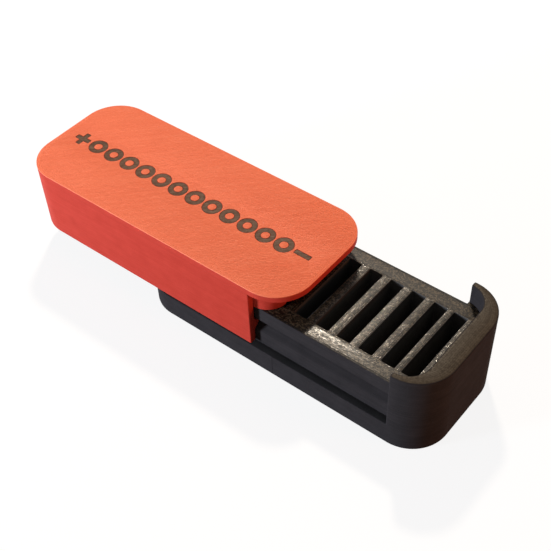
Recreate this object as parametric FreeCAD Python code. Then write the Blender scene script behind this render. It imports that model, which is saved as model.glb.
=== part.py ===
import FreeCAD, Part
import os

# Drawer case for coin cells, printed in two pieces: a tray whose slots hold the cells on
# edge, and a cover, closed at its rear end, that slides along it on a rib and groove at
# each side.
# The origin is the middle of the tray's underside. X runs along the case with the tray's
# tall end cap at +X, Y runs across it, Z is up. The cover is drawn part way open.

# --- driving dimensions, millimetres ---
case_length = 80.4
case_width = 32.4
case_height = 24.0
corner_radius = 9.2

cell_diameter = 20.0
cell_thickness = 3.2
slot_count = 12
slot_pitch = 5.65
front_slot_pitch = 5.0       # the slot beside the end cap sits closer to its neighbour
front_slot_setback = 8.95    # from the cap's outer face to the middle of the first slot
slot_floor = 1.9
slot_clearance = 0.2         # added to the cell's thickness
slot_end_clearance = 0.6     # added to the cell's diameter

ledge_height = 6.0           # the cover's walls run along this ledge
deck_height = 17.0           # top of the slotted block
block_width = 28.4
cap_length = 9.8

groove_height = 11.6
groove_depth = 1.8
running_gap = 0.25
ledge_gap = 0.6              # between the ledge and the wall above it
end_gap = 0.15

plate_thickness = 1.6
plate_gap = 0.3              # between the end cap's rim and the plate above it
strip_width = 5.0            # guide strips under the plate, one along each side
rim_gap = 0.3
rim_thickness = 4.5          # across the cap, where the rim is thickest

open_distance = 36.1         # how far the cover is drawn back here

mark_depth = 0.6
mark_pitch = 5.2
mark_ring_diameter = 4.7
mark_stroke = 1.25
mark_sign_length = 4.2
mark_row_centre = -0.5       # along the closed cover
mark_row_offset = -0.9       # across it

# --- derived dimensions ---
front_face = case_length / 2
rear_face = -front_face
half_width = case_width / 2
half_block = block_width / 2
wall_inner = half_block + running_gap
wall_thickness = half_width - wall_inner
wall_rear = rear_face + wall_thickness
block_rear = wall_rear + running_gap
block_radius = corner_radius - wall_thickness - running_gap
cap_inner = front_face - cap_length
plate_underside = case_height - plate_thickness
cap_top = plate_underside - plate_gap
slot_width = cell_thickness + slot_clearance
slot_length = cell_diameter + slot_end_clearance
strip_bottom = deck_height + running_gap
wall_bottom = ledge_height + ledge_gap
wall_front = cap_inner - end_gap
diagonal_gap = running_gap * 2 ** 0.5


def block(x_range, y_range, z_range):
    size = [high - low for low, high in (x_range, y_range, z_range)]
    corner = FreeCAD.Vector(x_range[0], y_range[0], z_range[0])
    return Part.makeBox(size[0], size[1], size[2], corner)


def rounded_slab(x_range, half_span, radius, z_range):
    """A slab with all four upright corners rounded."""
    slab = block(x_range, (-half_span, half_span), z_range)
    upright = []
    for edge in slab.Edges:
        start, end = edge.Vertexes[0].Point, edge.Vertexes[1].Point
        if abs(start.z - end.z) > radius / 100 and abs(start.x - end.x) < radius / 100:
            if abs(start.y - end.y) < radius / 100:
                upright.append(edge)
    return slab.makeFillet(radius, upright)


def footprint(z_range):
    """The case's outline seen from above, between two heights."""
    return rounded_slab((rear_face, front_face), half_width, corner_radius, z_range)


def wedge(apex_y, depth, x_range):
    """A 45 degree wedge along X, its edge at apex_y and its back depth further out."""
    corners = [
        FreeCAD.Vector(x_range[0], apex_y, groove_height),
        FreeCAD.Vector(x_range[0], apex_y + depth, groove_height + depth),
        FreeCAD.Vector(x_range[0], apex_y + depth, groove_height - depth),
    ]
    face = Part.Face(Part.makePolygon(corners + corners[:1]))
    return face.extrude(FreeCAD.Vector(x_range[1] - x_range[0], 0, 0))


def both_sides(shape):
    """The shape and its mirror image across the case's middle plane."""
    return [shape, shape.mirror(FreeCAD.Vector(0, 0, 0), FreeCAD.Vector(0, 1, 0))]


def slot_centres():
    """The slots' middles along X, from the end cap backwards."""
    first = front_face - front_slot_setback
    second = first - front_slot_pitch
    return [first] + [second - index * slot_pitch for index in range(slot_count - 1)]


def end_cap():
    """The full-width end, with a rim above the deck that curls round the cover's nose."""
    cap = footprint((0, cap_top)).common(
        block((cap_inner, front_face), (-half_width, half_width), (0, cap_top)))
    nose_space = rounded_slab(
        (cap_inner - cap_length, front_face - rim_thickness),
        wall_inner + rim_gap,
        strip_width + rim_gap,
        (deck_height, cap_top + plate_gap))
    return cap.cut(nose_space)


def slotted_core():
    """The block behind the cap, its rear corners rounded and its front inside the cap."""
    heights = (0, deck_height)
    slab = rounded_slab((block_rear, front_face + cap_length), half_block, block_radius, heights)
    reach = (block_rear, front_face - cap_length / 2)
    return slab.common(block(reach, (-half_block, half_block), heights))


def tray():
    """Base, slotted block and end cap, printed as one."""
    body = footprint((0, ledge_height)).fuse([slotted_core(), end_cap()])
    cutters = []
    for centre in slot_centres():
        cutters.append(block(
            (centre - slot_width / 2, centre + slot_width / 2),
            (-slot_length / 2, slot_length / 2),
            (slot_floor, case_height)))
    groove_reach = groove_depth + running_gap
    groove = wedge(half_block - groove_depth, groove_reach, (block_rear - end_gap, cap_inner))
    cutters.extend(both_sides(groove))
    return body.cut(cutters).removeSplitter()


def surrounding_wall():
    """The wall down both sides and round the rear, its front ends square."""
    heights = (wall_bottom, case_height)
    outer = footprint(heights).common(
        block((rear_face, wall_front), (-half_width, half_width), heights))
    inside = rounded_slab(
        (wall_rear, front_face + cap_length),
        wall_inner,
        corner_radius - wall_thickness,
        heights)
    return outer.cut(inside)


def side_guides():
    """What the +Y side adds to the wall: the rib, and the strip with its rounded nose."""
    reach = (wall_rear - running_gap, wall_front)
    rib_tip = half_block - groove_depth + diagonal_gap
    rib = wedge(rib_tip, wall_inner - rib_tip + running_gap, reach)
    strip_inner = wall_inner - strip_width
    strip = block(reach, (strip_inner, wall_inner + running_gap), (strip_bottom, case_height))
    nose = Part.makeCylinder(
        strip_width,
        plate_underside - strip_bottom,
        FreeCAD.Vector(wall_front, strip_inner, strip_bottom),
        FreeCAD.Vector(0, 0, 1),
        90)
    within = footprint((wall_bottom, case_height))
    return rib.fuse(strip).common(within).fuse(nose)


def mark_row():
    """The row of marks for the cover's top: a plus, one ring per cell, and a minus."""
    top = case_height
    low = top - mark_depth
    half_stroke = mark_stroke / 2
    half_sign = mark_sign_length / 2

    def bar(x, along, across):
        return block((x - along, x + along),
                     (mark_row_offset - across, mark_row_offset + across),
                     (low, top))

    first = mark_row_centre - mark_pitch * (slot_count + 1) / 2
    marks = [bar(first, half_sign, half_stroke).fuse(bar(first, half_stroke, half_sign))]
    for index in range(1, slot_count + 1):
        centre = FreeCAD.Vector(first + index * mark_pitch, mark_row_offset, low)
        outer = Part.makeCylinder(mark_ring_diameter / 2, mark_depth, centre)
        inner = Part.makeCylinder(mark_ring_diameter / 2 - mark_stroke, mark_depth, centre)
        marks.append(outer.cut(inner))
    marks.append(bar(first + (slot_count + 1) * mark_pitch, half_sign, half_stroke))
    return [mark.removeSplitter() for mark in marks]


def cover():
    """Top plate with the ribbed wall hanging from it, in its closed place."""
    plate = footprint((plate_underside, case_height))
    shell = plate.fuse([surrounding_wall()] + both_sides(side_guides())).removeSplitter()
    return shell.cut(mark_row())


def drawn_open(shape):
    """A cover piece moved from its closed place to where it is drawn."""
    return shape.translated(FreeCAD.Vector(-open_distance, 0, 0))


nodes = {
    "tray": tray(),
    "cover": drawn_open(cover()),
    "cover_marks": drawn_open(Part.makeCompound(mark_row())),
}

os.makedirs("parts", exist_ok=True)
for name, shape in nodes.items():
    shape.exportStep("parts/" + name + ".step")
    print(name, len(shape.Solids), "solids", round(shape.Volume, 1), "mm3", shape.isValid())
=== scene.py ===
import math
import random

import bmesh
import bpy
from mathutils import Matrix, Vector
from mathutils.geometry import tessellate_polygon


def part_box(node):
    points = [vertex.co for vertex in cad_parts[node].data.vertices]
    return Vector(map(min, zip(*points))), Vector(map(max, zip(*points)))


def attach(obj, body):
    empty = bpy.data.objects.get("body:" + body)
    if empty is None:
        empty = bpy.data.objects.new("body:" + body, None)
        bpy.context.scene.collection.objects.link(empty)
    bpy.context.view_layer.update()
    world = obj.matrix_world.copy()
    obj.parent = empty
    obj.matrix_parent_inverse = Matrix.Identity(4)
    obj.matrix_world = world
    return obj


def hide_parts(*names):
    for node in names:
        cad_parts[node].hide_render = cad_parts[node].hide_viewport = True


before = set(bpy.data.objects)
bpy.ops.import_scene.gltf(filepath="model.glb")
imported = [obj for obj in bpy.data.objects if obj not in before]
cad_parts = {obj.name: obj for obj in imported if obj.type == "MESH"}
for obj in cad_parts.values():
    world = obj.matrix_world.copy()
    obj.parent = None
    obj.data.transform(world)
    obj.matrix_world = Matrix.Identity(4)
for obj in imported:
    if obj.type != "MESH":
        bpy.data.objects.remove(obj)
for leftover in ("Cube", "Light", "Camera"):   # Blender's own starting objects
    if leftover in bpy.data.objects:
        bpy.data.objects.remove(bpy.data.objects[leftover])
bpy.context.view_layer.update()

mm = 0.001
random.seed(12)

# how the plastic is laid down, millimetres
printSettings = {
    "layer": 0.2,
    "grooveDepth": 0.018,     # between two layers
    "layerWander": 0.008,     # how far one layer sits behind the next
    "facet": 0.5,             # longest run on a rounded corner
    "fewestFacets": 4,        # on any arc
    "cornerSteps": 3,         # runs on the small corners the nozzle leaves
    "edgeRows": (0.3, 0.7),   # where rows fall on a rounded edge, as shares of its quarter turn
    "sharpFrom": 40,          # degrees between two faces at a crisp edge
    "weld": 2e-4,             # points this close become one
}

# differences too small to count, millimetres
sameHeight = 0.01
samePoint = 1e-4
hairsBreadth = 1e-5


# outlines are seen from above, and the walls are stacked up from them layer by layer

def arcPoints(centre, radius, startDegrees, endDegrees):
    turn = math.radians(endDegrees - startDegrees)
    steps = math.ceil(abs(turn) * radius / printSettings["facet"])
    steps = max(printSettings["fewestFacets"], steps)
    points = []
    for step in range(steps + 1):
        angle = math.radians(startDegrees) + turn * step / steps
        points.append((centre[0] + radius * math.cos(angle), centre[1] + radius * math.sin(angle)))
    return points


def roundedFront(x, half, corner):
    # from the -Y side round the front end to the +Y side
    return (arcPoints((x - corner, corner - half), corner, -90, 0)
            + arcPoints((x - corner, half - corner), corner, 0, 90))


def roundedRear(x, half, corner, split=None):
    # from the +Y side round the rear end to the -Y side; split adds a point where |y| is split
    centre = (x + corner, half - corner)
    if split is None:
        bend = arcPoints(centre, corner, 90, 180)
    else:
        turned = 180 - math.degrees(math.asin((split - centre[1]) / corner))
        bend = arcPoints(centre, corner, 90, turned) + arcPoints(centre, corner, turned, 180)[1:]
    return bend + [(px, -py) for px, py in reversed(bend)]


def flattened(points, most):
    # holds an outline within most of the middle line
    return [(x, max(-most, min(most, y))) for x, y in points]


def nozzleCorners(corners):
    # a corner given as (x, y, radius) is rounded; one given as (x, y) is kept
    points = []
    steps = printSettings["cornerSteps"]
    for index, corner in enumerate(corners):
        here = Vector(corner[:2])
        if len(corner) == 2:
            points.append(tuple(here))
            continue
        radius = corner[2]
        toBefore = (Vector(corners[index - 1][:2]) - here).normalized()
        toAfter = (Vector(corners[(index + 1) % len(corners)][:2]) - here).normalized()
        for step in range(steps + 1):
            share = step / steps
            pull = radius * (1 - share) ** 2, radius * share ** 2
            points.append(tuple(here + toBefore * pull[0] + toAfter * pull[1]))
    return points


def barOutline(x, y, along, across, corner):
    return nozzleCorners([
        (x - along, y - across, corner), (x + along, y - across, corner),
        (x + along, y + across, corner), (x - along, y + across, corner)])


def atAnyHeight(outline):
    # for a wall whose outline is the same all the way up
    return lambda height: outline


def insetLoop(points, amounts, mostReach=2.0):
    # moves each point of a counter-clockwise outline inwards; a sharp corner moves further than
    # its sides do, up to mostReach times as far
    count = len(points)
    moved = []
    for index in range(count):
        here = Vector(points[index])
        before, after = index - 1, (index + 1) % count
        while (Vector(points[before]) - here).length < hairsBreadth:
            before -= 1
        while (Vector(points[after]) - here).length < hairsBreadth:
            after = (after + 1) % count
        runIn = (here - Vector(points[before])).normalized()
        runOut = (Vector(points[after]) - here).normalized()
        normalIn = Vector((-runIn.y, runIn.x))
        normalOut = Vector((-runOut.y, runOut.x))
        middle = (normalIn + normalOut).normalized()
        reach = amounts[index] / max(1 / mostReach, middle.dot(normalIn))
        moved.append(tuple(here + middle * reach))
    return moved


def layerHeights(low, high, foot, crown):
    # (height, groove) pairs: a groove at each layer's joint, a shoulder half way up each layer,
    # and a few more rows where the foot or the crown is rounded
    count = max(1, round((high - low) / printSettings["layer"]))
    step = (high - low) / count
    rows = []
    for layer in range(count):
        groove = printSettings["grooveDepth"] if layer else 0
        rows.append((low + layer * step, groove))
        rows.append((low + (layer + 0.5) * step, random.random() * printSettings["layerWander"]))
    rows.append((high, 0))
    for share in printSettings["edgeRows"]:
        turn = math.sin(math.radians(90 * share))
        if foot:
            rows.append((low + foot * (1 - turn), 0))
        if crown:
            rows.append((high - crown * (1 - turn), 0))
    return sorted(rows)


def edgeRound(fromEdge, radius):
    # how far a rounded edge has pulled in, this far from the edge's own face
    if not radius or fromEdge >= radius:
        return 0.0
    return radius - math.sqrt(max(0.0, radius ** 2 - (radius - fromEdge) ** 2))


def stackLoops(mesh, outlineAt, low, high, finish, foot=0, crown=0, crownShare=None, hole=False,
               crownFinish=None):
    # builds an upright wall from outlines; foot and crown are the radii of its lower and upper
    # edges, and crownShare says how much each point joins in the crown
    rows = []
    inwards = -1 if hole else 1
    for height, groove in layerHeights(low, high, foot, crown):
        points = outlineAt(height)
        footPull = edgeRound(height - low, foot)
        crownPull = edgeRound(high - height, crown)
        amounts = []
        for point in points:
            share = crownShare(point) if crownShare else 1
            amounts.append(inwards * (groove + footPull + crownPull * share))
        moved = insetLoop(points, amounts)
        rows.append([(x, y, height) for x, y in moved])
    rings = [[mesh.verts.new(point) for point in row] for row in rows]
    for lowRing, highRing in zip(rings, rings[1:]):
        onCrown = crownFinish is not None and lowRing[0].co.z > high - crown - samePoint
        for index in range(len(lowRing)):
            after = (index + 1) % len(lowRing)
            face = mesh.faces.new((lowRing[index], lowRing[after], highRing[after], highRing[index]))
            face.material_index = crownFinish if onCrown else finish
    return rows


def withoutRepeats(points):
    kept = []
    for point in points:
        if not kept or (Vector(point) - Vector(kept[-1])).length > samePoint:
            kept.append(point)
    if (Vector(kept[0]) - Vector(kept[-1])).length < samePoint:
        kept.pop()
    return kept


def fillFlat(mesh, outline, holes, finish):
    # a level face inside an outline, open where the holes are
    loops = [[Vector(point) for point in withoutRepeats(loop)] for loop in [outline] + holes]
    verts = [mesh.verts.new(point) for loop in loops for point in loop]
    for corners in tessellate_polygon(loops):
        face = mesh.faces.new([verts[corner] for corner in corners])
        face.material_index = finish


def finishMesh(mesh, name, materials, shift=0.0):
    # shift moves the piece along the case
    bmesh.ops.remove_doubles(mesh, verts=mesh.verts, dist=printSettings["weld"])
    bmesh.ops.dissolve_degenerate(mesh, edges=mesh.edges, dist=hairsBreadth)
    bmesh.ops.recalc_face_normals(mesh, faces=mesh.faces)
    loose = [edge for edge in mesh.edges if not edge.is_manifold]
    bmesh.ops.translate(mesh, verts=mesh.verts, vec=(shift, 0, 0))
    bmesh.ops.scale(mesh, verts=mesh.verts, vec=(mm, mm, mm))
    data = bpy.data.meshes.new(name)
    mesh.to_mesh(data)
    mesh.free()
    for material in materials:
        data.materials.append(material)
    data.shade_smooth()
    data.set_sharp_from_angle(angle=math.radians(printSettings["sharpFrom"]))
    piece = bpy.data.objects.new(name, data)
    bpy.context.scene.collection.objects.link(piece)
    print(name, len(data.vertices), "points,", len(loose), "open edges")
    return piece


# the case as a whole, millimetres
caseSettings = {
    "length": 80.4,
    "width": 32.4,
    "height": 24.0,
    "corner": 9.2,
    "open": 36.1,             # how far back the cover is drawn
    "cells": 12,
    "runningGap": 0.25,       # between the tray and what slides along it
}

# the tray, millimetres
traySettings = {
    "ledge": 6.0,             # height of the ledge the cover runs along
    "deck": 17.0,             # height of the slotted block
    "blockWidth": 28.4,
    "capTop": 22.1,
    "capLength": 9.8,
    "rimThickness": 4.5,      # across the cap
    "rimGap": 0.3,            # from the rim to the cover's nose
    "grooveHeight": 11.6,
    "grooveReach": 1.8,
    "firstSlot": 31.25,       # middle of the slot beside the cap
    "secondSlot": 26.25,      # a little closer to the first than the others are to each other
    "slotPitch": 5.65,        # from the second slot on
    "slotWidth": 3.4,
    "slotLength": 20.6,
    "slotFloor": 1.9,
    "slotCorner": 0.35,
    "slotEdge": 0.12,         # rounding of the slots' upper edges
    "edge": 0.25,             # rounding of the other upper edges
    "foot": 0.3,              # rounding where the tray met the bed
    "nozzle": 0.35,           # rounding of the upright corners
}

# the cover, millimetres
coverSettings = {
    "plateThickness": 1.6,
    "ledgeGap": 0.6,          # from the tray's ledge to the walls' lower edges
    "endGap": 0.15,           # from the cap to the walls' front ends when shut
    "stripWidth": 5.0,        # guide strips under the plate; their noses have this radius
    "ribReach": 1.696,        # how far each rib stands in from the wall
    "edge": 0.28,             # rounding round the top
    "wallFoot": 0.15,         # rounding of the walls' lower edges
    "nozzle": 0.3,            # rounding of the upright corners
    "markGap": 0.035,         # hairline round each inlaid mark
    "markEdge": 0.05,         # rounding of the hairline's edges
}


def workOutPlaces():
    # faces and corners that follow from the settings, with the cover shut
    whole, tray, cover = caseSettings, traySettings, coverSettings
    front, half = whole["length"] / 2, whole["width"] / 2
    wallInner = tray["blockWidth"] / 2 + whole["runningGap"]
    thickness = half - wallInner
    return {
        "front": front,
        "half": half,
        "capInner": front - tray["capLength"],
        "rimInner": front - tray["rimThickness"],     # the rim's straight inner face
        "rimHalf": wallInner + tray["rimGap"],
        "rimCorner": cover["stripWidth"] + tray["rimGap"],
        "blockRear": thickness + whole["runningGap"] - front,
        "blockCorner": whole["corner"] - thickness - whole["runningGap"],
        "wallInner": wallInner,
        "wallRear": thickness - front,                # inner face of the rear wall
        "wallCorner": whole["corner"] - thickness,
        "wallFront": front - tray["capLength"] - cover["endGap"],
        "wallBottom": tray["ledge"] + cover["ledgeGap"],
        "stripInner": wallInner - cover["stripWidth"],
        "stripBottom": tray["deck"] + whole["runningGap"],
        "plateBottom": whole["height"] - cover["plateThickness"],
    }


places = workOutPlaces()


def trayGroove(height):
    # how deep the groove along each side is at this height
    s = traySettings
    return max(0.0, s["grooveReach"] - abs(height - s["grooveHeight"]))


def slotMiddles():
    s = traySettings
    later = [s["secondSlot"] - s["slotPitch"] * place for place in range(caseSettings["cells"] - 1)]
    return [s["firstSlot"]] + later


def buildTray(materials):
    s, corner = traySettings, caseSettings["corner"]
    front, half, halfBlock = places["front"], places["half"], s["blockWidth"] / 2
    inner, tip, rimHalf = places["capInner"], s["nozzle"], places["rimHalf"]
    capFront = roundedFront(front, half, corner)
    baseRear = roundedRear(-front, half, corner)
    blockRear = roundedRear(places["blockRear"], halfBlock, places["blockCorner"])
    beside = inner - s["edge"]        # the edges of ledge and deck are rounded from here back
    onWall, onDeck, inSlot, underneath, onLedge, onRim = range(6)     # places in trayFinishes
    mesh = bmesh.new()
    baseOutline = [(inner, -half)] + capFront + [(inner, half), (beside, half)]
    baseOutline += baseRear + [(beside, -half)]

    def clearOfCap(point):
        return 0.0 if point[0] > beside + hairsBreadth else 1.0

    def blockAt(height):
        side = halfBlock - trayGroove(height)
        outer = 0.0 if height < s["ledge"] + sameHeight else tip
        corners = [(inner, -side), (inner, -rimHalf), (inner, -half, outer)] + capFront
        corners += [(inner, half, outer), (inner, rimHalf), (inner, side), (beside, side)]
        return nozzleCorners(corners + flattened(blockRear, side) + [(beside, -side)])

    def rimAt(height):
        innerTip = 0.0 if height < s["deck"] + sameHeight else tip
        bend = places["rimCorner"]
        corners = [(inner, -half, tip)] + capFront + [(inner, half, tip), (inner, rimHalf, innerTip)]
        corners += arcPoints((inner, rimHalf - bend), bend, 90, 0)[1:]
        corners += arcPoints((inner, bend - rimHalf), bend, 0, -90)[:-1]
        corners += [(inner, -rimHalf, innerTip)]
        return nozzleCorners(corners)

    baseRows = stackLoops(mesh, atAnyHeight(baseOutline), 0, s["ledge"], onWall,
                          s["foot"], s["edge"], clearOfCap)
    blockRows = stackLoops(mesh, blockAt, s["ledge"], s["deck"], onWall, 0, s["edge"], clearOfCap)
    rimRows = stackLoops(mesh, rimAt, s["deck"], s["capTop"], onWall, 0, s["edge"])

    turned = printSettings["cornerSteps"] + 1     # points on each rounded nozzle corner
    rearSide = 2 + 2 * turned + len(capFront)     # where the block's outline leaves the cap
    ledge = baseRows[-1][1 + len(capFront):] + baseRows[-1][:1]
    blockFoot = blockRows[0]
    fillFlat(mesh, ledge + blockFoot[:2][::-1] + blockFoot[rearSide:][::-1], [], onLedge)

    pocket = rimRows[0][2 * turned + len(capFront):][::-1]
    deck = blockRows[-1][:2] + pocket + blockRows[-1][rearSide:]
    slotHoles = []
    for middle in slotMiddles():
        slot = barOutline(middle, 0, s["slotWidth"] / 2, s["slotLength"] / 2, s["slotCorner"])
        rows = stackLoops(mesh, atAnyHeight(slot), s["slotFloor"], s["deck"], inSlot,
                          0, s["slotEdge"], hole=True)
        slotHoles.append(rows[-1])
        fillFlat(mesh, rows[0], [], inSlot)
    fillFlat(mesh, deck, slotHoles, onDeck)
    fillFlat(mesh, rimRows[-1], [], onRim)
    fillFlat(mesh, baseRows[0], [], underneath)
    return finishMesh(mesh, "slottedTray", materials)


# the row of marks let into the cover: a plus, rings and a minus, millimetres
markSettings = {
    "depth": 0.6,
    "pitch": 5.2,
    "ringRadius": 2.35,
    "stroke": 1.25,
    "signLength": 4.2,
    "rowCentre": -0.5,        # along the shut cover
    "rowOffset": -0.9,        # across it
    "sunk": 0.02,             # below the cover's top
    "lift": 0.01,             # above the floor of its pocket
    "edge": 0.07,
    "corner": 0.25,
}


def plusOutline(x, y, reach, halfStroke, corner):
    # its inner corners are half as round as its outer ones
    r, h = reach, halfStroke
    steps = [(-h, -r, corner), (h, -r, corner), (h, -h, corner / 2), (r, -h, corner),
             (r, h, corner), (h, h, corner / 2), (h, r, corner), (-h, r, corner),
             (-h, h, corner / 2), (-r, h, corner), (-r, -h, corner), (-h, -h, corner / 2)]
    return nozzleCorners([(x + dx, y + dy, radius) for dx, dy, radius in steps])


def circleOutline(x, y, radius):
    return arcPoints((x, y), radius, 0, 360)[:-1]


def markOutlines(grow):
    # a plus, a ring for each cell and a minus: each one's outline and, for a ring, the outline of
    # its hole; grow widens them all
    m, rings = markSettings, caseSettings["cells"]
    first = m["rowCentre"] - m["pitch"] * (rings + 1) / 2
    last = first + m["pitch"] * (rings + 1)
    y, reach, half = m["rowOffset"], m["signLength"] / 2, m["stroke"] / 2
    marks = [(plusOutline(first, y, reach + grow, half + grow, m["corner"]), None)]
    for place in range(1, rings + 1):
        x = first + place * m["pitch"]
        hole = circleOutline(x, y, m["ringRadius"] - m["stroke"] - grow)
        marks.append((circleOutline(x, y, m["ringRadius"] + grow), hole))
    marks.append((barOutline(last, y, reach + grow, half + grow, m["corner"]), None))
    return marks


def buildCover(materials, shift):
    # made shut and then moved by shift
    s, corner, ribHeight = coverSettings, caseSettings["corner"], traySettings["grooveHeight"]
    half, wallInner, top = places["half"], places["wallInner"], caseSettings["height"]
    front, tip, strip = places["wallFront"], s["nozzle"], places["stripInner"]
    wallBottom, stripBottom, plateBottom = (
        places[name] for name in ("wallBottom", "stripBottom", "plateBottom"))
    outerRear = roundedRear(-places["front"], half, corner)
    innerRear = roundedRear(places["wallRear"], wallInner, places["wallCorner"], strip)[::-1]
    nose = arcPoints((front, strip), s["stripWidth"], 0, 90)
    otherNose = [(x, -y) for x, y in reversed(nose)]
    onWall, onTop, underneath = range(3)      # places in coverFinishes
    mesh = bmesh.new()
    plateOutline = [(front, -half)] + roundedFront(places["front"], half, corner)
    plateOutline += [(front, half)] + outerRear

    def wallAt(height):
        inner = wallInner - max(0.0, s["ribReach"] - abs(height - ribHeight))
        innerTip = 0.0 if height > stripBottom - sameHeight else tip
        corners = [(front, half, tip)] + outerRear + [(front, -half, tip), (front, -inner, innerTip)]
        return nozzleCorners(corners + flattened(innerRear, inner) + [(front, inner, innerTip)])

    def stripAt(height):
        outerTip = 0.0 if height > plateBottom - sameHeight else tip
        corners = [(front, half, outerTip)] + outerRear + [(front, -half, outerTip)] + otherNose
        return nozzleCorners(corners + flattened(innerRear, strip) + nose)

    wallRows = stackLoops(mesh, wallAt, wallBottom, stripBottom, onWall, s["wallFoot"])
    stripRows = stackLoops(mesh, stripAt, stripBottom, plateBottom, onWall)
    plateRows = stackLoops(mesh, atAnyHeight(plateOutline), plateBottom, top, onWall,
                           0, s["edge"], crownFinish=onTop)
    fillFlat(mesh, wallRows[0], [], underneath)

    turned = printSettings["cornerSteps"] + 1
    wallInside = wallRows[-1][2 * turned + len(outerRear):]      # inner front corner, rear, corner
    stripInside = stripRows[0][2 * turned + len(outerRear):]     # nose, rear, nose
    bend = [abs(y) > strip - hairsBreadth for x, y in innerRear].index(False)
    for flip in (1, -1):                  # underside of each guide strip
        wallEdge = wallInside[::flip][:turned + bend]
        stripEdge = stripInside[::flip][:len(nose) + bend - 1]
        fillFlat(mesh, wallEdge + stripEdge[::-1], [], underneath)
    plateFront = plateRows[0][:len(plateRows[0]) - len(outerRear)]
    inside = stripRows[-1][2 * turned + len(outerRear):]
    fillFlat(mesh, plateFront + inside[::-1], [], underneath)

    # top of the plate, open where the marks are let in
    pockets = []
    floor = top - markSettings["depth"]
    for outer, hole in markOutlines(s["markGap"]):
        rows = stackLoops(mesh, atAnyHeight(outer), floor, top, onWall, 0, s["markEdge"], hole=True)
        pockets.append(rows[-1])
        if hole:
            islandRows = stackLoops(mesh, atAnyHeight(hole), floor, top, onWall, 0, s["markEdge"])
            fillFlat(mesh, islandRows[-1], [], onTop)
            fillFlat(mesh, rows[0], [islandRows[0]], onWall)
        else:
            fillFlat(mesh, rows[0], [], onWall)
    fillFlat(mesh, plateRows[-1], pockets, onTop)
    return finishMesh(mesh, "slidingCover", materials, shift)


def buildMarks(materials, shift):
    m = markSettings
    top = caseSettings["height"] - m["sunk"]
    low = caseSettings["height"] - m["depth"] + m["lift"]
    onMark = 0                # its place in markFinishes
    mesh = bmesh.new()
    for outer, hole in markOutlines(0):
        rows = stackLoops(mesh, atAnyHeight(outer), low, top, onMark, 0, m["edge"])
        lowHoles, topHoles = [], []
        if hole:
            holeRows = stackLoops(mesh, atAnyHeight(hole), low, top, onMark, 0, m["edge"], hole=True)
            lowHoles, topHoles = [holeRows[0]], [holeRows[-1]]
        fillFlat(mesh, rows[0], lowHoles, onMark)
        fillFlat(mesh, rows[-1], topHoles, onMark)
    return finishMesh(mesh, "coverMarks", materials, shift)


# plastic finishes: lengths are in millimetres, and a grain is lumps in a millimetre along X, Y and Z

def addNode(tree, kind, *values, **settings):
    # values fill the inputs in order: a socket is linked, anything else is typed in
    node = tree.nodes.new("ShaderNode" + kind)
    for name, value in settings.items():
        setattr(node, name, value)
    for place, value in enumerate(values):
        if isinstance(value, bpy.types.NodeSocket):
            tree.links.new(value, node.inputs[place])
        elif value is not None:
            node.inputs[place].default_value = value
    return node


def calc(tree, operation, *values):
    return addNode(tree, "Math", *values, operation=operation).outputs[0]


def addUp(tree, *parts):
    # parts are (socket, weight) pairs
    total = 0.0
    for socket, weight in parts:
        total = calc(tree, "MULTIPLY_ADD", socket, weight, total)
    return total


def mixed(tree, parts, shares):
    # adds up the named parts, each by its share
    return addUp(tree, *[(parts[name], share) for name, share in shares.items()])


def placeInMillimetres(tree):
    # the place on the object, then its x, y and z
    place = addNode(tree, "TexCoord").outputs["Object"]
    scaled = addNode(tree, "VectorMath", place, None, None, 1 / mm, operation="SCALE").outputs[0]
    return [scaled] + list(addNode(tree, "SeparateXYZ", scaled).outputs)


def grain(tree, place, lumps, detail=2.0, rough=0.6):
    # noise from 0 to 1
    scaled = addNode(tree, "VectorMath", place, lumps, operation="MULTIPLY").outputs[0]
    noise = addNode(tree, "TexNoise", scaled)
    noise.inputs["Scale"].default_value = 1.0
    noise.inputs["Detail"].default_value = detail
    noise.inputs["Roughness"].default_value = rough
    return noise.outputs[0]


def specks(tree, place, lumps):
    # a random tone for each small fleck, and how far out of its middle a point is
    scaled = addNode(tree, "VectorMath", place, lumps, operation="MULTIPLY").outputs[0]
    flecks = addNode(tree, "TexVoronoi", scaled)
    flecks.inputs["Scale"].default_value = 1.0
    return addNode(tree, "SeparateXYZ", flecks.outputs["Color"]).outputs[0], flecks.outputs["Distance"]


def beads(tree, across, width):
    # rounded lines side by side: their height, and a random tone for each that changes in the dip
    turns = calc(tree, "DIVIDE", across, width)
    wave = calc(tree, "SINE", calc(tree, "MULTIPLY", turns, 2 * math.pi))
    tone = addNode(tree, "TexWhiteNoise", noise_dimensions="1D")
    tree.links.new(calc(tree, "FLOOR", calc(tree, "ADD", turns, 0.25)), tone.inputs["W"])
    return calc(tree, "MULTIPLY_ADD", wave, 0.5, 0.5), tone.outputs["Value"]


def acrossSlant(tree, x, y):
    # how far a point lies across lines that run at 45 degrees
    return addUp(tree, (x, -math.sqrt(0.5)), (y, math.sqrt(0.5)))


def apart(tree, first, second):
    return calc(tree, "ABSOLUTE", calc(tree, "SUBTRACT", first, second))


def insideEdge(tree, x, y, middle, halfLength, halfWidth, corner):
    # how far a point lies inside a rounded outline
    pastX = calc(tree, "SUBTRACT", apart(tree, x, middle), halfLength - corner)
    pastY = calc(tree, "SUBTRACT", calc(tree, "ABSOLUTE", y), halfWidth - corner)
    outX, outY = calc(tree, "MAXIMUM", pastX, 0.0), calc(tree, "MAXIMUM", pastY, 0.0)
    out = addNode(tree, "CombineXYZ", outX, outY).outputs[0]
    reach = addNode(tree, "VectorMath", out, operation="LENGTH").outputs["Value"]
    within = calc(tree, "MINIMUM", calc(tree, "MAXIMUM", pastX, pastY), 0.0)
    return calc(tree, "SUBTRACT", corner, calc(tree, "ADD", reach, within))


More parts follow.
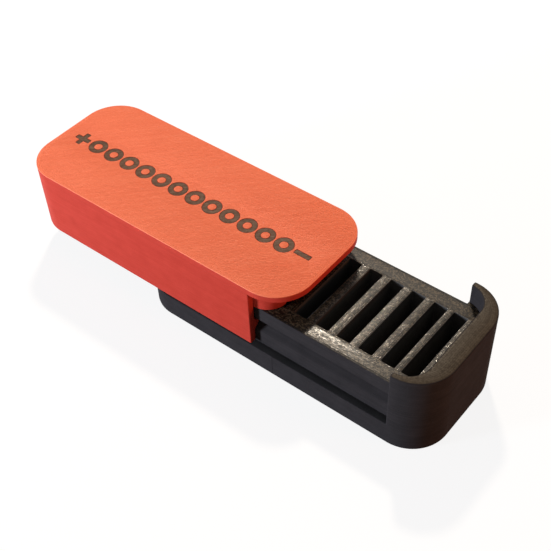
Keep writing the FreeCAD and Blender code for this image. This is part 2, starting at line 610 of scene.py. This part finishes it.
def between(tree, value, low, high):
    # 0 below low, 1 above high, smooth in between
    return addNode(tree, "MapRange", value, low, high, interpolation_type="SMOOTHSTEP").outputs[0]


def blendValues(tree, share, first, second):
    node = addNode(tree, "Mix", share, data_type="FLOAT")
    for place, value in ((2, first), (3, second)):      # where the node takes numbers to blend
        if isinstance(value, bpy.types.NodeSocket):
            tree.links.new(value, node.inputs[place])
        else:
            node.inputs[place].default_value = value
    return node.outputs[0]


def toneRamp(tree, value, tones):
    ramp = addNode(tree, "ValToRGB", value)
    stops = ramp.color_ramp.elements
    while len(stops) < len(tones):
        stops.new(0.5)
    for stop, (place, color) in zip(stops, tones):
        stop.position = place
        stop.color = (*color, 1)
    return ramp.outputs[0]


def newFinish(name, settings):
    material = bpy.data.materials.new(name)
    material.use_nodes = True
    tree = material.node_tree
    shader = tree.nodes["Principled BSDF"]
    shader.inputs["Specular IOR Level"].default_value = settings["gloss"]
    material.diffuse_color = (*settings["tones"][1][1], 1)
    return material, tree, shader


def finishOff(tree, shader, settings, tone, height):
    # color, roughness and bump from a tone and a height, both about 0 to 1
    tree.links.new(toneRamp(tree, tone, settings["tones"]), shader.inputs["Base Color"])
    low, high = settings["roughness"]
    rough = addNode(tree, "MapRange", tone, 0.0, 1.0, high, low).outputs[0]
    tree.links.new(rough, shader.inputs["Roughness"])
    bump = addNode(tree, "Bump")
    bump.inputs["Strength"].default_value = 1.0
    bump.inputs["Distance"].default_value = settings["depth"] * mm
    tree.links.new(height, bump.inputs["Height"])
    tree.links.new(bump.outputs[0], shader.inputs["Normal"])


# upright walls, and whatever is finished as they are
wallSettings = {
    "gloss": 0.003,
    "roughness": (0.5, 0.62),      # where the tone is light, and where it is dark
    "streakGrain": (0.12, 0.12, 2.5),
    "cloudGrain": (0.25, 0.25, 0.35),
    "fineGrain": (3.5, 3.5, 4.0),
    "toneShares": {"layer": 0.12, "streak": 0.25, "cloud": 0.38, "fine": 0.25},
    "bumpShares": {"streak": 0.5, "layer": 0.2, "fine": 0.3},
    "depth": 0.006,
    "tones": [(0.3, (0.0255, 0.0225, 0.0225)), (0.5, (0.032, 0.028, 0.028)), (0.7, (0.039, 0.034, 0.034))],
}

# where each layer starts and ends, a faint ridge up the -Y side
seamSettings = {
    "place": -0.1,            # along the case
    "halfWidth": 0.35,
    "height": 9.0,            # in depths of the wall's bump
    "shade": -0.2,
    "clear": 1.0,             # the ridge keeps this far outside the block's side
}

ledgeSettings = dict(wallSettings, tones=[
    (0.3, (0.026, 0.025, 0.024)), (0.5, (0.034, 0.032, 0.031)), (0.7, (0.042, 0.039, 0.038))])

# painted light: the slots are about three times lighter than the same grey plastic outside them, for light
# the deep slots don't get
slotPaintedLightSettings = dict(wallSettings, depth=0.02, tones=[
    (0.3, (0.07, 0.065, 0.06)), (0.5, (0.09, 0.083, 0.077)), (0.7, (0.11, 0.102, 0.095))])

undersideSettings = dict(wallSettings, gloss=0.2, roughness=(0.3, 0.42), toneShares={
    "layer": 0.0, "streak": 0.1, "cloud": 0.6, "fine": 0.3})

# painted shade: the cover's walls and underside are a darker, redder copy of the same orange plastic as its
# top, for faces turned sideways or down
coverShadedWallSettings = dict(wallSettings, gloss=0.06, roughness=(0.45, 0.58), depth=0.01, tones=[
    (0.3, (0.44, 0.036, 0.021)), (0.5, (0.49, 0.043, 0.026)), (0.7, (0.54, 0.051, 0.032))])

coverShadedUnderSettings = dict(coverShadedWallSettings, toneShares={
    "layer": 0.0, "streak": 0.4, "cloud": 0.3, "fine": 0.3})


def wallFinish(name, settings, seam=None):
    # stacked layers, each a touch lighter or darker, with long streaks and a fine grain
    s = settings
    material, tree, shader = newFinish(name, s)
    place, x, y, z = placeInMillimetres(tree)
    parts = {
        "layer": beads(tree, z, printSettings["layer"])[1],
        "streak": grain(tree, place, s["streakGrain"]),
        "cloud": grain(tree, place, s["cloudGrain"], detail=1.0),
        "fine": grain(tree, place, s["fineGrain"], detail=1.0),
    }
    tone = mixed(tree, parts, s["toneShares"])
    height = mixed(tree, parts, s["bumpShares"])
    if seam:
        off = between(tree, apart(tree, x, seam["place"]), 0.0, seam["halfWidth"])
        outside = calc(tree, "LESS_THAN", y, traySettings["blockWidth"] / -2 - seam["clear"])
        ridge = calc(tree, "MULTIPLY", calc(tree, "SUBTRACT", 1.0, off), outside)
        height = addUp(tree, (height, 1.0), (ridge, seam["height"]))
        tone = addUp(tree, (tone, 1.0), (ridge, seam["shade"]))
    finishOff(tree, shader, s, tone, height)
    return material


# the cover's top
coverTopSettings = {
    "gloss": 0.1,
    "roughness": (0.45, 0.58),
    "line": 0.44,
    "outlineLines": (1.9, 2.3),    # this many lines in, the slanting ones take over
    "waver": 1.2,             # how far the slanting lines wander
    "waverGrain": (0.9, 0.9, 0.9),
    "patchGrain": (0.9, 2.0, 1.0),     # the first two run along and across the lines
    "cloudGrain": (0.12, 0.12, 0.12),
    "fineGrain": (4.0, 4.0, 4.0),
    "toneShares": {"line": 0.12, "bead": 0.2, "patch": 0.25, "cloud": 0.13, "fine": 0.3},
    "bumpShares": {"bead": 0.75, "patch": 0.13, "fine": 0.18},
    "depth": 0.08,
    "tones": [(0.3, (0.89, 0.177, 0.083)), (0.5, (0.95, 0.209, 0.102)), (0.7, (0.99, 0.245, 0.125))],
}


def coverTopFinish(name, settings):
    # beads round the outline, then slanting lines that waver a little
    s = settings
    material, tree, shader = newFinish(name, s)
    place, x, y = placeInMillimetres(tree)[:3]
    inside = insideEdge(tree, x, y, -caseSettings["open"],
                        places["front"], places["half"], caseSettings["corner"])
    waver = grain(tree, place, s["waverGrain"])
    slant = calc(tree, "MULTIPLY_ADD", waver, s["waver"], acrossSlant(tree, x, y))
    lineBead, lineTone = beads(tree, slant, s["line"])
    edgeBead, edgeTone = beads(tree, inside, s["line"])
    first, last = s["outlineLines"]
    share = between(tree, inside, first * s["line"], last * s["line"])
    alongLine = addNode(tree, "VectorRotate", place, None, None, math.radians(-45),
                        rotation_type="Z_AXIS").outputs[0]
    parts = {
        "line": blendValues(tree, share, edgeTone, lineTone),
        "bead": blendValues(tree, share, edgeBead, lineBead),
        "patch": grain(tree, alongLine, s["patchGrain"]),
        "cloud": grain(tree, place, s["cloudGrain"], detail=1.0),
        "fine": grain(tree, place, s["fineGrain"], detail=1.0),
    }
    finishOff(tree, shader, s, mixed(tree, parts, s["toneShares"]), mixed(tree, parts, s["bumpShares"]))
    return material


# the tray's deck, round and between the slots
deckSettings = {
    "gloss": 0.14,
    "roughness": (0.32, 0.46),
    "line": 0.42,
    "pastSlots": (0.1, 0.6),  # this far past the slots' ends, lines along the case take over
    "groove": 0.52,           # how far in from the edge the outermost bead ends
    "grooveHalf": (0.04, 0.16),    # from its middle to where it starts and stops rising
    "paintedGrooveShade": 0.4,        # painted shade: what is left of the tone down in it
    "grooveDrop": 0.5,        # in depths
    "lumpGrain": (1.1, 2.2, 1.5),
    "sparkleGrain": (3.0, 3.0, 3.0),
    "sparkleRough": 0.7,
    "fleckGrain": (3.2, 3.2, 3.2),
    "toneShares": {"line": 0.08, "bead": 0.1, "lump": 0.12, "sparkle": 0.25, "fleck": 0.45},
    "bumpShares": {"sparkle": 0.45, "bead": 0.08, "lump": 0.1, "fleckShape": 0.15},
    "edgeBump": 0.25,         # what is left of the bump along both edges
    "tilt": 0.20,             # the bump dips this many depths in a millimetre towards the cap
    "depth": 0.1,
    # the light end of these tones is painted glints, far lighter than the plastic's own grey
    "tones": [(0.3, (0.005, 0.0037, 0.0022)), (0.5, (0.022, 0.0148, 0.0082)), (0.7, (0.103, 0.074, 0.044))],
}

# the shiny skin on the deck's flattest spots
glazeSettings = {
    "roughness": 0.12,
    "onEdges": 0.12,          # how much of it there is along both edges, and on the dividers
    "onDividers": 0.42,
    "spotGrain": (0.9, 2.6, 1.5),
    "spotRange": (0.42, 0.62),
    "spotShare": 0.85,        # of the edges' glaze; the rest is everywhere along them
    "fleckGain": (1.6, 0.2),  # how a fleck's tone changes the edges' glaze
    "fleckRange": (0.6, 1.0),
    "streaked": 17.8,         # this divider's lines came out long and straight
    "streakedHalf": (1.0, 1.3),
    "streakedTone": 0.69,     # its flecks count as at least this light
}


def deckFinish(name, settings, glaze):
    # lines run across the case between the slots, along it at both edges, all with a coarse sparkle: bumps
    # and glaze, and glints painted into the color as light flecks
    s, g, t = settings, glaze, traySettings
    material, tree, shader = newFinish(name, s)
    place, x, y = placeInMillimetres(tree)[:3]
    besideMiddle = calc(tree, "ABSOLUTE", y)
    first, last = s["pastSlots"]
    onEdge = between(tree, besideMiddle, t["slotLength"] / 2 + first, t["slotLength"] / 2 + last)
    acrossBead, acrossTone = beads(tree, x, s["line"])
    alongBead, alongTone = beads(tree, y, s["line"])
    inside = calc(tree, "SUBTRACT", t["blockWidth"] / 2, besideMiddle)
    outOfGroove = between(tree, apart(tree, inside, s["groove"]), *s["grooveHalf"])
    flecks, fleckShape = specks(tree, place, s["fleckGrain"])
    parts = {
        "line": blendValues(tree, onEdge, acrossTone, alongTone),
        "bead": blendValues(tree, onEdge, acrossBead, alongBead),
        "lump": grain(tree, place, s["lumpGrain"], detail=1.0),
        "sparkle": grain(tree, place, s["sparkleGrain"], rough=s["sparkleRough"]),
        "fleck": flecks,
        "fleckShape": fleckShape,
    }
    # the flecks and the sparkle lighten the color in spots: painted glints
    tone = mixed(tree, parts, s["toneShares"])
    # painted shade: the tone is darkened in the groove beside the outermost bead
    grooveShade = calc(tree, "MULTIPLY_ADD", outOfGroove, 1 - s["paintedGrooveShade"], s["paintedGrooveShade"])
    tone = calc(tree, "MULTIPLY", tone, grooveShade)
    height = mixed(tree, parts, s["bumpShares"])
    flatter = calc(tree, "MULTIPLY_ADD", onEdge, s["edgeBump"] - 1, 1.0)
    height = calc(tree, "MULTIPLY", height, flatter)
    height = addUp(tree, (height, 1.0), (outOfGroove, s["grooveDrop"]), (x, -s["tilt"]))
    finishOff(tree, shader, s, tone, height)

    spots = between(tree, grain(tree, place, g["spotGrain"], detail=1.0), *g["spotRange"])
    edgeGlaze = calc(tree, "MULTIPLY_ADD", spots, g["onEdges"] * g["spotShare"],
                     g["onEdges"] * (1 - g["spotShare"]))
    edgeGlaze = calc(tree, "MULTIPLY", edgeGlaze, calc(tree, "MULTIPLY_ADD", flecks, *g["fleckGain"]))
    offStreaks = between(tree, apart(tree, x, g["streaked"]), *g["streakedHalf"])
    leastTone = calc(tree, "MULTIPLY_ADD", offStreaks, -g["streakedTone"], g["streakedTone"])
    lightFlecks = between(tree, calc(tree, "MAXIMUM", flecks, leastTone), *g["fleckRange"])
    dividerGlaze = calc(tree, "MULTIPLY", lightFlecks, g["onDividers"])
    tree.links.new(blendValues(tree, onEdge, dividerGlaze, edgeGlaze), shader.inputs["Coat Weight"])
    shader.inputs["Coat Roughness"].default_value = g["roughness"]
    tree.links.new(shader.inputs["Normal"].links[0].from_socket, shader.inputs["Coat Normal"])
    return material


# the top of the end cap's rim
rimSettings = {
    "gloss": 0.08,
    "roughness": (0.42, 0.58),
    "line": 0.42,
    "cloudGrain": (0.5, 0.5, 0.5),
    "fineGrain": (3.5, 3.5, 3.5),
    "fleckGrain": (3.0, 3.0, 3.0),
    "toneShares": {"line": 0.1, "bead": 0.1, "cloud": 0.2, "fine": 0.4, "fleck": 0.2},
    "bumpShares": {"bead": 0.5, "fine": 0.5},
    "lastBead": (0.45, 0.75),      # the bead round the pocket fades out this far from it
    "glint": 0.6,             # how much lighter that bead's light flecks are
    "glintFrom": 0.3,         # flecks with less tone than this get darker instead
    "depth": 0.02,
    "tones": [(0.3, (0.030, 0.020, 0.011)), (0.5, (0.049, 0.035, 0.022)), (0.7, (0.073, 0.055, 0.036))],
}


def rimFinish(name, settings):
    # beads that follow the end cap's outline
    s = settings
    material, tree, shader = newFinish(name, s)
    place, x, y = placeInMillimetres(tree)[:3]
    inside = insideEdge(tree, x, y, 0.0, places["front"], places["half"], caseSettings["corner"])
    bead, lineTone = beads(tree, inside, s["line"])
    flecks = specks(tree, place, s["fleckGrain"])[0]
    parts = {
        "line": lineTone,
        "bead": bead,
        "cloud": grain(tree, place, s["cloudGrain"], detail=1.0),
        "fine": grain(tree, place, s["fineGrain"]),
        "fleck": flecks,
    }
    pocket = insideEdge(tree, x, y, 0.0, places["rimInner"], places["rimHalf"], places["rimCorner"])
    near, far = s["lastBead"]
    lastBead = between(tree, pocket, -far, -near)      # 1 on the bead round the pocket
    glint = calc(tree, "MULTIPLY", lastBead, calc(tree, "SUBTRACT", flecks, s["glintFrom"]))
    tone = addUp(tree, (mixed(tree, parts, s["toneShares"]), 1.0), (glint, s["glint"]))
    finishOff(tree, shader, s, tone, mixed(tree, parts, s["bumpShares"]))
    return material


# the marks let into the cover
inlaySettings = {
    "gloss": 0.1,
    "roughness": (0.45, 0.6),
    "line": 0.42,
    "mottleGrain": (1.2, 1.2, 1.2),
    "fineGrain": (3.5, 3.5, 3.5),
    "toneShares": {"line": 0.15, "bead": 0.15, "mottle": 0.45, "fine": 0.25},
    "bumpShares": {"bead": 0.5, "mottle": 0.3, "fine": 0.2},
    "depth": 0.02,
    "tones": [(0.33, (0.080, 0.036, 0.018)), (0.5, (0.125, 0.066, 0.038)), (0.67, (0.19, 0.115, 0.075))],
}


def inlayFinish(name, settings):
    # short slanting lines, mottled where the cover's color shows through the thin fill
    s = settings
    material, tree, shader = newFinish(name, s)
    place, x, y = placeInMillimetres(tree)[:3]
    bead, lineTone = beads(tree, acrossSlant(tree, x, y), s["line"])
    parts = {
        "line": lineTone,
        "bead": bead,
        "mottle": grain(tree, place, s["mottleGrain"]),
        "fine": grain(tree, place, s["fineGrain"], detail=1.0),
    }
    finishOff(tree, shader, s, mixed(tree, parts, s["toneShares"]), mixed(tree, parts, s["bumpShares"]))
    return material


trayFinishes = [
    wallFinish("greyPlasticWall", wallSettings, seamSettings),
    deckFinish("greyPlasticDeckPaintedGlints", deckSettings, glazeSettings),
    # the slots' lighter copy of the plastic is painted light
    wallFinish("greyPlasticSlotPaintedLight", slotPaintedLightSettings),
    wallFinish("greyPlasticUnderside", undersideSettings),
    wallFinish("greyPlasticLedge", ledgeSettings),
    rimFinish("greyPlasticRim", rimSettings),
]
coverFinishes = [
    # the walls and the underside carry painted shade
    wallFinish("orangePlasticWallPaintedShade", coverShadedWallSettings),
    coverTopFinish("orangePlasticTop", coverTopSettings),
    wallFinish("orangePlasticUnderPaintedShade", coverShadedUnderSettings),
]
markFinishes = [inlayFinish("greyPlasticInlay", inlaySettings)]
print("finishes ready")

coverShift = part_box("cover")[0].x / mm + places["front"]     # from shut to as drawn
pieces = [                    # each with its body, the node it stands for and its material slot
    (buildTray(trayFinishes), "tray", "tray", "tray_plastic"),
    (buildCover(coverFinishes, coverShift), "cover", "cover", "cover_plastic"),
    (buildMarks(markFinishes, coverShift), "cover", "cover_marks", "mark_plastic"),
]
for made, body, replaced, slot in pieces:
    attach(made, body)
    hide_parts(replaced)
print("pieces set on their bodies")


# the camera, millimetres and degrees
cameraSettings = {
    "target": (3.16111, -12.24587, 10.0),
    "azimuth": -50.86228,
    "elevation": 49.21113,
    "roll": -1.67745,
    "distance": 221.25079,
    "focal": 1009.59428,      # in pixels of a picture this many pixels wide
    "pictureWidth": 551,
    "shift": (-0.032805, 0.119230),
    "sensor": 36,
    "nearest": 10,            # anything closer isn't drawn
}


def aimCamera():
    c = cameraSettings
    azimuth, elevation, roll = (math.radians(c[key]) for key in ("azimuth", "elevation", "roll"))
    out = Vector((math.cos(elevation) * math.cos(azimuth), math.cos(elevation) * math.sin(azimuth),
                  math.sin(elevation)))
    right = (-out).cross(Vector((0, 0, 1))).normalized()
    up = right.cross(-out)
    rolledRight = right * math.cos(roll) + up * math.sin(roll)
    rolledUp = up * math.cos(roll) - right * math.sin(roll)
    data = bpy.data.cameras.new("viewCamera")
    data.sensor_width = c["sensor"]
    data.lens = c["focal"] * c["sensor"] / c["pictureWidth"]
    data.shift_x, data.shift_y = c["shift"]
    data.clip_start = c["nearest"] * mm
    camera = bpy.data.objects.new("viewCamera", data)
    place = (Vector(c["target"]) + out * c["distance"]) * mm
    turn = Matrix((rolledRight, rolledUp, out)).transposed().to_4x4()
    camera.matrix_world = Matrix.Translation(place) @ turn
    bpy.context.scene.collection.objects.link(camera)
    bpy.context.scene.camera = camera


# the floor, the room's light and the lamps, metres and degrees
white = (1, 1, 1, 1)
studioSettings = {
    "floorSize": 4.0,
    "floorSeen": (0.16, 0.16, 0.16, 1),      # the floor's own color where it is looked at
    "floorGlow": 0.88,        # what is added to it there
    "floorColor": (0.46, 0.40, 0.34, 1),     # what the object gets its light back from
    "roomLight": 0.12,
    "lampAim": (0, 0, 0.012), # the middle of the case
    "lamps": {                # azimuth, height above the floor, distance, size, watts and color
        "windowLamp": (128.1, 49.9, 0.599, 0.05, 2.8, (1.0, 0.875, 0.715)),
        "coolLamp": (-124, 6, 0.5, 0.10, 3.45, (0.74, 0.83, 1.0)),
        "warmLamp": (16, 8, 0.6, 0.18, 1.5, (1.0, 0.34, 0.12)),
    },
}


def seenDirectly(tree):
    # 1 for what the camera, a reflection or a clear part sees, 0 for light on the object
    path = addNode(tree, "LightPath").outputs
    either = calc(tree, "MAXIMUM", path["Is Camera Ray"], path["Is Glossy Ray"])
    return calc(tree, "MAXIMUM", either, path["Is Transmission Ray"])


def paleFloorFinish():
    s = studioSettings
    material = bpy.data.materials.new("paleFloorPaint")
    material.use_nodes = True
    tree = material.node_tree
    tree.nodes.remove(tree.nodes["Principled BSDF"])
    paint = addNode(tree, "BsdfDiffuse", s["floorSeen"]).outputs[0]
    glow = addNode(tree, "Emission", white, s["floorGlow"]).outputs[0]
    asSeen = addNode(tree, "AddShader", paint, glow).outputs[0]
    asLit = addNode(tree, "BsdfDiffuse", s["floorColor"]).outputs[0]
    surface = addNode(tree, "MixShader", seenDirectly(tree), asLit, asSeen).outputs[0]
    tree.links.new(surface, tree.nodes["Material Output"].inputs["Surface"])
    return material


def layFloor():
    mesh = bmesh.new()
    bmesh.ops.create_grid(mesh, x_segments=1, y_segments=1, size=studioSettings["floorSize"] / 2)
    data = bpy.data.meshes.new("paleFloor")
    mesh.to_mesh(data)
    mesh.free()
    data.materials.append(paleFloorFinish())
    floor = bpy.data.objects.new("paleFloor", data)
    bpy.context.scene.collection.objects.link(floor)


def lightRoom():
    world = bpy.data.worlds.new("paleRoom")
    bpy.context.scene.world = world
    world.use_nodes = True
    tree = world.node_tree
    background = tree.nodes["Background"]
    background.inputs["Color"].default_value = white
    strength = blendValues(tree, seenDirectly(tree), studioSettings["roomLight"], 1.0)
    tree.links.new(strength, background.inputs["Strength"])


def hangLamps():
    s = studioSettings
    for name, (azimuth, up, distance, size, watts, color) in s["lamps"].items():
        data = bpy.data.lights.new(name, "AREA")
        data.shape = "DISK"
        data.size = size
        data.energy = watts
        data.color = color
        lamp = bpy.data.objects.new(name, data)
        side, lift = math.radians(azimuth), math.radians(up)
        out = Vector((math.cos(lift) * math.cos(side), math.cos(lift) * math.sin(side), math.sin(lift)))
        lamp.location = Vector(s["lampAim"]) + out * distance
        lamp.rotation_euler = out.to_track_quat("Z", "Y").to_euler()
        bpy.context.scene.collection.objects.link(lamp)


aimCamera()
layFloor()
lightRoom()
hangLamps()
bpy.context.scene.view_settings.view_transform = "Standard"
print("camera, floor and lamps set")
